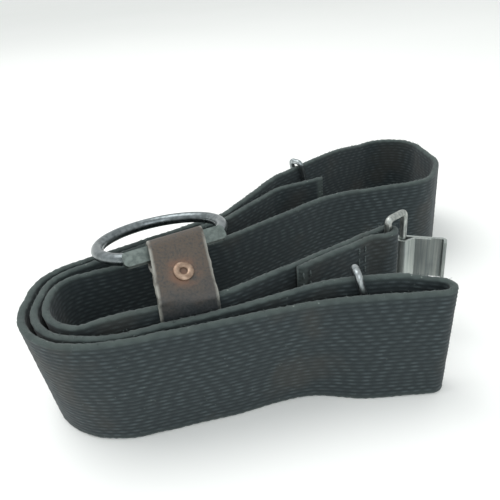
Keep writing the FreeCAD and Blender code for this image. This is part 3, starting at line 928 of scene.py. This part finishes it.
@dataclass
class Hanger:
    """Leather strip that goes round the strap and over the ring's crossbar, with its rivet."""

    bar: Vector
    along: Vector
    width: float = 23.0
    thick: float = 1.5
    yaw: float = 12.0
    twist: tuple[float, float] = (54.3, 58.3)
    lean: float = 55.0
    drift: float = 0.2
    bar_q: float = 22.0
    front_layer: float = 1.7
    fold_radius: float = 4.534
    heel: float = 56.2
    leg: float = 2.7
    layer_gap: float = 0.1
    under: float = 2.65
    rivet_q: float = 8.4
    rivet_flange: float = 4.0
    rivet_hole: float = 1.35
    edge_round: float = 0.45
    cut_reach: float = 0.9
    strip_points: int = 25
    browned: tuple[float, float] = (0.001, 0.018)  # under the bar, and how far down it fades
    finish: LeatherFinish = LeatherFinish()

    def __post_init__(self) -> None:
        """Work out the section's two directions: along the lean and square to it."""
        a = math.radians(self.lean)
        self.q = np.array([math.sin(a), math.cos(a)])
        self.m = np.array([-math.cos(a), math.sin(a)])
        bar_v, bar_z = self.at(self.bar_q, self.front_layer - self.fold_radius)
        back = Vector((-self.along.y, self.along.x, 0))
        below = Vector((self.bar.x, self.bar.y, self.bar.z - bar_z * MM))
        self.foot = below - (back * bar_v + self.along * self.drift * self.bar_q) * MM

    def at(self, q: float, m: float) -> tuple[float, float]:
        """Section point (back, up) at a distance along the lean and square to it."""
        spot = self.q * q + self.m * m
        return float(spot[0]), float(spot[1] + self.heel)

    def meets(self, v: float, m: float) -> tuple[float, float]:
        """Where an upright line at v reaches the layer at distance m."""
        return v, float(self.heel + (m - self.m[0] * v) / self.m[1])

    def world(self, v: float, z: float, u: float = 0.0) -> Vector:
        """Place in the belt's frame, in metres, of a section point and a distance along the bar."""
        low, high = self.twist
        share = min(1.0, max(0.0, (z - low) / (high - low)))
        turn = math.radians(self.yaw) * (share * share * (3 - 2 * share) - 1)
        along = Matrix.Rotation(turn, 3, "Z") @ self.along
        back = Vector((-along.y, along.x, 0))
        u += self.drift * max(0.0, self.q[0] * v + self.q[1] * (z - self.heel))
        spot = self.foot + (along * u + back * v + Vector((0, 0, z))) * MM
        lean_x, lean_y = Lean.at(spot.x / MM, spot.y / MM)
        low = max(0.0, 1 - z / self.twist[0])
        return spot + Vector((lean_x, lean_y, 0)) * low * MM

    def rigid(self, q: float, m: float, u: float = 0.0) -> Vector:
        """Place of a point that belongs to the rivet, which takes the upper part's direction."""
        v, z = self.at(q, m)
        back = Vector((-self.along.y, self.along.x, 0))
        across = self.along * (u + self.drift * self.rivet_q)
        return self.foot + (across + back * v + Vector((0, 0, z))) * MM

    def outline(self) -> list[tuple[float, float, float]]:
        """Corners of the strip's middle line, from its end behind the strap to its tail."""
        t = self.thick
        far = self.front_layer - 2 * self.fold_radius
        back = self.front_layer - t - self.layer_gap
        tail = back - t - self.layer_gap
        outer = self.leg + t + 2 * self.layer_gap
        end = self.bar_q + self.fold_radius
        return [
            (self.leg, 26.0, 0),
            (*self.meets(self.leg, back), 2.0),
            (*self.at(12.5, back), 2.0),
            (*self.at(18.6, far), 2.0),
            (*self.at(end, far), self.fold_radius),
            (*self.at(end, self.front_layer), self.fold_radius),
            (*self.meets(-self.leg, self.front_layer), 5.0),
            (-self.leg, self.under, 1.6),
            (outer, self.under, 1.6),
            (*self.meets(outer, tail), 1.4),
            (*self.at(12.0, tail), 0),
        ]

    def strip(self) -> bpy.types.Object:
        """The leather strip, with rounded cut edges and a slight wobble across its width."""
        line = section_line(self.outline(), 0.6)
        tangent = np.gradient(line, axis=0)
        tangent /= np.linalg.norm(tangent, axis=1)[:, None]
        normal = np.stack([-tangent[:, 1], tangent[:, 0]], -1)
        half, round_off, count = self.width / 2, self.edge_round, self.strip_points
        face = np.linspace(-half + round_off, half - round_off, count)
        arc = np.linspace(0, math.pi, 6)[1:-1]
        side = np.concatenate([np.ones(count), np.cos(arc), -np.ones(count), -np.cos(arc)])
        rim = half - round_off * (1 - np.sin(arc))
        reach = np.concatenate([face, rim, face[::-1], -rim])
        cut = np.clip((np.abs(reach) - half + self.cut_reach) / 0.5, 0, 1)
        vertices, share = [], []
        for i, (spot, out) in enumerate(zip(line, normal)):
            for u, s, c in zip(reach, side, cut):
                wobble = noise.noise(Vector((u * 0.35, i * 0.12, 3.1))) * 0.12
                ragged = noise.noise(Vector((math.copysign(7, u), i * 0.18, 9.4))) * 0.35 * c
                level = s * (self.thick / 2 - 0.06) + wobble * 0.5
                v, z = spot + out * level
                vertices.append(self.world(v, z, u + math.copysign(ragged, u)))
                share.append(c)
        columns = len(reach)
        for ring in (vertices[:columns], vertices[-columns:]):
            middle = sum(ring, Vector((0, 0, 0))) / columns
            vertices.append(middle)
            share.append(1.0)
        piece = finish_mesh("hanger_leather", vertices, grid_faces(len(line), columns))
        # the cut attribute marks the edges that the leather paints lighter: undyed leather plus a
        # painted highlight
        attribute = piece.data.attributes.new("cut", "FLOAT", "POINT")
        attribute.data.foreach_set("value", np.array(share, np.float32))
        middle = self.rigid(self.rivet_q, self.front_layer + self.thick / 2)
        top = self.bar.z - self.browned[0]
        piece.data.materials.append(self.finish.material(middle, top, top - self.browned[1]))
        return piece

    def turned(self, name: str, profile: Sequence[tuple[float, float]]) -> bpy.types.Object:
        """Spin a closed profile of (radius, height over the top layer) about the rivet's axis."""
        segments = 48
        vertices, faces = [], []
        base = self.front_layer + self.thick / 2
        for k in range(segments):
            angle = 2 * math.pi * k / segments
            for radius, height in profile:
                q = self.rivet_q + radius * math.cos(angle)
                vertices.append(self.rigid(q, base + height, radius * math.sin(angle)))
        count = len(profile)
        for k in range(segments):
            for j in range(count):
                a, b = k * count, (k + 1) % segments * count
                faces.append((a + j, a + (j + 1) % count, b + (j + 1) % count, b + j))
        piece = finish_mesh(name, vertices, faces)
        work = bmesh.new()
        work.from_mesh(piece.data)
        bmesh.ops.recalc_face_normals(work, faces=work.faces)
        work.to_mesh(piece.data)
        work.free()
        return piece

    def rivet(self) -> bpy.types.Object:
        """Tubular rivet: a domed flange that rolls into an open bore, set over at the far end."""
        layers = 2 * (self.thick + self.layer_gap) + self.thick
        hole, rim = self.rivet_hole, self.rivet_flange
        dome = [(rim - 0.05, 0.02), (rim, 0.25), (rim - 0.18, 0.52), (rim - 0.7, 0.78)]
        dome += [(rim - 1.35, 0.9), (hole + 0.75, 0.86), (hole + 0.3, 0.66)]
        dome += [(hole + 0.06, 0.35), (hole, -0.1)]
        bore = [(hole, -layers - 0.6), (hole + 0.1, -layers - 1.2), (hole + 0.5, -layers - 1.45)]
        roll = [(hole + r, -layers - h) for r, h in ((1.2, 1.4), (1.65, 1.1), (1.6, 0.85))]
        shank = [(2.15, -layers - 0.8), (2.15, -0.02)]
        return self.turned("rivet_tube", dome + bore + roll + shank)

    def burr(self) -> bpy.types.Object:
        """Washer under the rivet's set end, with rubbed rims."""
        top = -(2 * (self.thick + self.layer_gap) + self.thick)
        ring = [(2.25, -0.02), (3.0, 0.0), (3.12, -0.12), (3.2, -0.4)]
        ring += [(3.12, -0.68), (3.0, -0.78), (2.25, -0.78)]
        return self.turned("rivet_washer", [(r, top + h) for r, h in ring])


@dataclass
class Studio:
    """White sweep, soft light and the camera."""

    target: tuple[float, float, float] = (-10.58, 7.78, 25.0)
    distance: float = 301.6
    elevation: float = 28.5
    roll: float = 5.0
    lens: float = 40.32

    def camera(self) -> None:
        """Create the camera and make it the scene's."""
        a = math.radians(self.elevation)
        forward = Vector((0, math.cos(a), -math.sin(a)))
        right = Vector((1, 0, 0))
        tilt = Matrix.Rotation(math.radians(self.roll), 3, forward)
        right = tilt @ right
        up = right.cross(forward)
        data = bpy.data.cameras.new("camera")
        data.lens = self.lens
        data.sensor_width = 36.0
        data.clip_start = 0.01
        camera = bpy.data.objects.new("camera", data)
        place = Vector(self.target) * MM - forward * self.distance * MM
        rows = [[right[k], up[k], -forward[k], place[k]] for k in range(3)]
        camera.matrix_world = Matrix(rows + [[0, 0, 0, 1]])
        bpy.context.scene.collection.objects.link(camera)
        bpy.context.scene.camera = camera

    def floor(self) -> None:
        """Large pale floor."""
        size = 8.0
        corners = [(-size, -size, 0), (size, -size, 0), (size, size, 0), (-size, size, 0)]
        floor = finish_mesh("floor", corners, [(0, 1, 2, 3)])
        s = ShaderSketch("white_paper")
        tone = s.cloud(s.place(), 400.0, 1.0)
        colour = s.mix(tone, "F6F7F4", "FBFBF9")
        s.feed(Base_Color=colour, Roughness=0.6, Specular_IOR_Level=0.2)
        floor.data.materials.append(s.material)

    def lamp(self, name: str, place: Vector, size: float, watts: float, tint: str) -> None:
        """Square soft light that looks at the belt."""
        data = bpy.data.lights.new(name, "AREA")
        data.size = size
        data.energy = watts
        data.color = hex_colour(tint)[:3]
        lamp = bpy.data.objects.new(name, data)
        lamp.location = place
        lamp.rotation_euler = (Vector((0, 0, 0.03)) - place).to_track_quat("-Z", "Y").to_euler()
        bpy.context.scene.collection.objects.link(lamp)

    def light(self) -> None:
        """White surroundings with a large window high at the back left and a front fill."""
        world = bpy.data.worlds.new("white_room")
        world.use_nodes = True
        world.node_tree.nodes["Background"].inputs[0].default_value = hex_colour("F7FAFA")
        world.node_tree.nodes["Background"].inputs[1].default_value = 0.88
        bpy.context.scene.world = world
        bpy.context.scene.view_settings.view_transform = "Standard"
        self.lamp("window", Vector((-0.45, 0.2, 0.95)), 0.8, 6.0, "FFFFFF")
        self.lamp("fill", Vector((0.2, -0.9, 0.6)), 0.9, 3.0, "F4FAFF")


class Belt:
    """The whole belt: builds each sub-assembly on the frame and hands the pieces to it."""

    def __init__(self, frame: dict[str, Any]) -> None:
        """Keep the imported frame."""
        self.frame = frame

    def joint(self, name: str) -> dict[str, Any]:
        """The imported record's joint of a name."""
        return next(j for j in self.frame["joints"] if j["name"] == name)

    def hand_over(self, piece: bpy.types.Object, body: str, node: str = "") -> None:
        """Let a piece ride on a body and, where a node is named, stand for it."""
        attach(piece, body)
        if node:
            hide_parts(node)
        LOG.info("%s: %d faces, rides on %s", piece.name, len(piece.data.polygons), body)

    def strap(self) -> None:
        """Webbing and stitching."""
        strap = Strap()
        line = strap.settle()
        webbing = strap.build(line)
        self.hand_over(webbing, "strap", "belt_webbing")
        fuzz = strap.fuzz(line)
        self.hand_over(fuzz, "strap")
        self.hand_over(strap.stitches(), "strap", "fold_stitching")

    def hanger(self) -> None:
        """Leather strip, rivet and washer."""
        swing = self.joint("ring_swing")
        hanger = Hanger(bar=Vector(swing["pos_m"]), along=Vector(swing["axis"]).normalized())
        self.hand_over(hanger.strip(), "hanger", "ring_hanger")
        copper = COPPER.material()
        for piece, node in ((hanger.rivet(), "hanger_rivet"), (hanger.burr(), "rivet_burr")):
            piece.data.materials.append(copper)
            self.hand_over(piece, "hanger", node)

    def steel(self) -> None:
        """Finishes of the pieces that keep their solids' shapes."""
        finishes = {
            "pull_ring": RING_STEEL,
            "ring_crossbar": BAR_STEEL,
            "buckle_loop": LOOP_STEEL,
            "hook_plate": HOOK_STEEL,
            "keeper_front": KEEPER_STEEL,
            "keeper_back": KEEPER_STEEL,
        }
        made: dict[str, bpy.types.Material] = {}
        for node, finish in finishes.items():
            made.setdefault(finish.name, finish.material())
            mesh = self.frame["nodes"][node].data
            mesh.materials.clear()
            mesh.materials.append(made[finish.name])
            LOG.info("%s: %s", node, finish.name)


def main() -> None:
    """Load the frame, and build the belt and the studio."""
    logging.basicConfig(level=logging.INFO, format="%(name)s: %(message)s")
    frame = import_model()
    studio = Studio()
    studio.camera()
    belt = Belt(frame)
    for step in (belt.strap, belt.hanger, belt.steel, studio.floor, studio.light):
        step()


if __name__ == "__main__":
    main()
